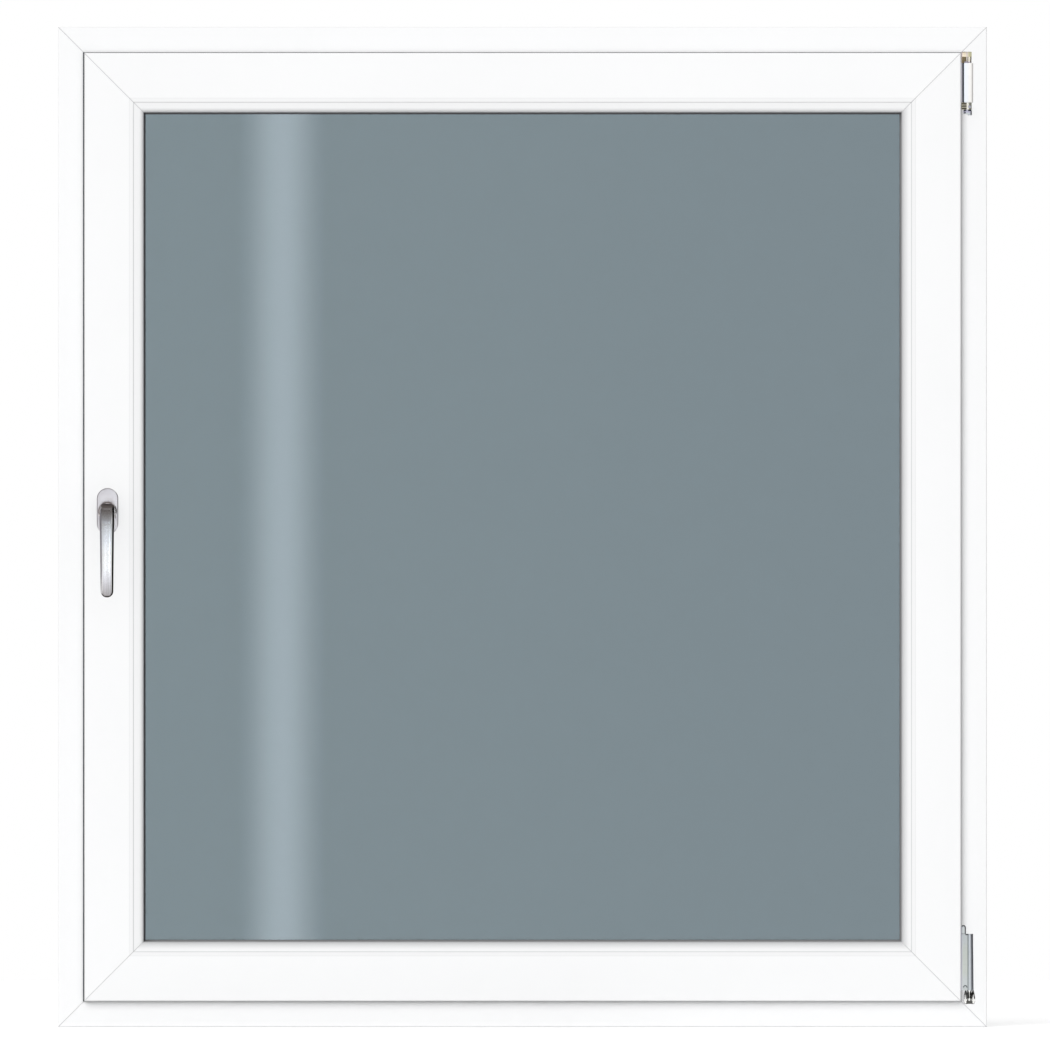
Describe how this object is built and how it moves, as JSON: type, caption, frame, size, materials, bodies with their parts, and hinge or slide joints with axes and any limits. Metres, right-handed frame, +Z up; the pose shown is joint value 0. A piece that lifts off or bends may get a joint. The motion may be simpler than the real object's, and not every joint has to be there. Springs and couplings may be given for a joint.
{
  "type": "tilt and turn window",
  "caption": "White plastic tilt-and-turn window with mitred frame and sash, glazing beads and gaskets, insulating glass, exposed side hinges and a satin lever handle that turns.",
  "frame": {"origin": "middle of the outer frame's underside, half-way through its depth", "axes": "+X towards the hinge side, -Y towards the room, +Y towards the weather, +Z up"},
  "size_m": [1.3, 0.1483, 1.4],
  "materials": {
    "frame_pvc": "smooth white plastic, semi-gloss",
    "sash_pvc": "smooth white plastic, semi-gloss",
    "bead_pvc": "smooth white plastic, semi-gloss",
    "gasket_rubber": "dark grey matte rubber",
    "clear_glass": "clear neutral grey glass",
    "spacer_bar": "black matte spacer bar",
    "satin_lever": "satin anodised",
    "satin_rosette": "satin anodised",
    "spindle_steel": "zinc plated",
    "yellow_zinc": "yellow chromated zinc",
    "dark_steel": "dark coated steel",
    "cover_plastic": "white gloss plastic",
    "bright_zinc": "silver zinc plating",
    "pivot_steel": "polished zinc casting",
    "cap_plastic": "white matte plastic"
  },
  "bodies": {
    "window": {"frame_head": "frame_pvc", "frame_sill": "frame_pvc", "frame_jamb_left": "frame_pvc", "frame_jamb_right": "frame_pvc", "sash_top_rail": "sash_pvc", "sash_bottom_rail": "sash_pvc", "sash_stile_left": "sash_pvc", "sash_stile_right": "sash_pvc", "bead_top": "bead_pvc", "bead_bottom": "bead_pvc", "bead_left": "bead_pvc", "bead_right": "bead_pvc", "frame_gasket": "gasket_rubber", "sash_gasket": "gasket_rubber", "inner_glazing_gasket": "gasket_rubber", "outer_glazing_gasket": "gasket_rubber", "glass_inner_pane": "clear_glass", "glass_outer_pane": "clear_glass", "glass_spacer": "spacer_bar", "handle_rosette": "satin_rosette", "upper_hinge_bracket": "yellow_zinc", "upper_hinge_band": "dark_steel", "upper_hinge_cover": "cover_plastic", "upper_hinge_end": "bright_zinc", "upper_hinge_pin": "bright_zinc", "lower_hinge_band": "bright_zinc", "lower_pivot_bracket": "pivot_steel", "lower_pivot_pin": "pivot_steel", "drain_cap_left": "cap_plastic", "drain_cap_right": "cap_plastic"},
    "handle": {"handle_lever": "satin_lever", "handle_spindle": "spindle_steel"}
  },
  "joints": [
    {"name": "handle_turn", "type": "hinge", "parent": "window", "child": "handle", "pos_m": [-0.5805, -0.05, 0.722], "axis": [0, -1, 0], "range_deg": [0, 180]}
  ]
}
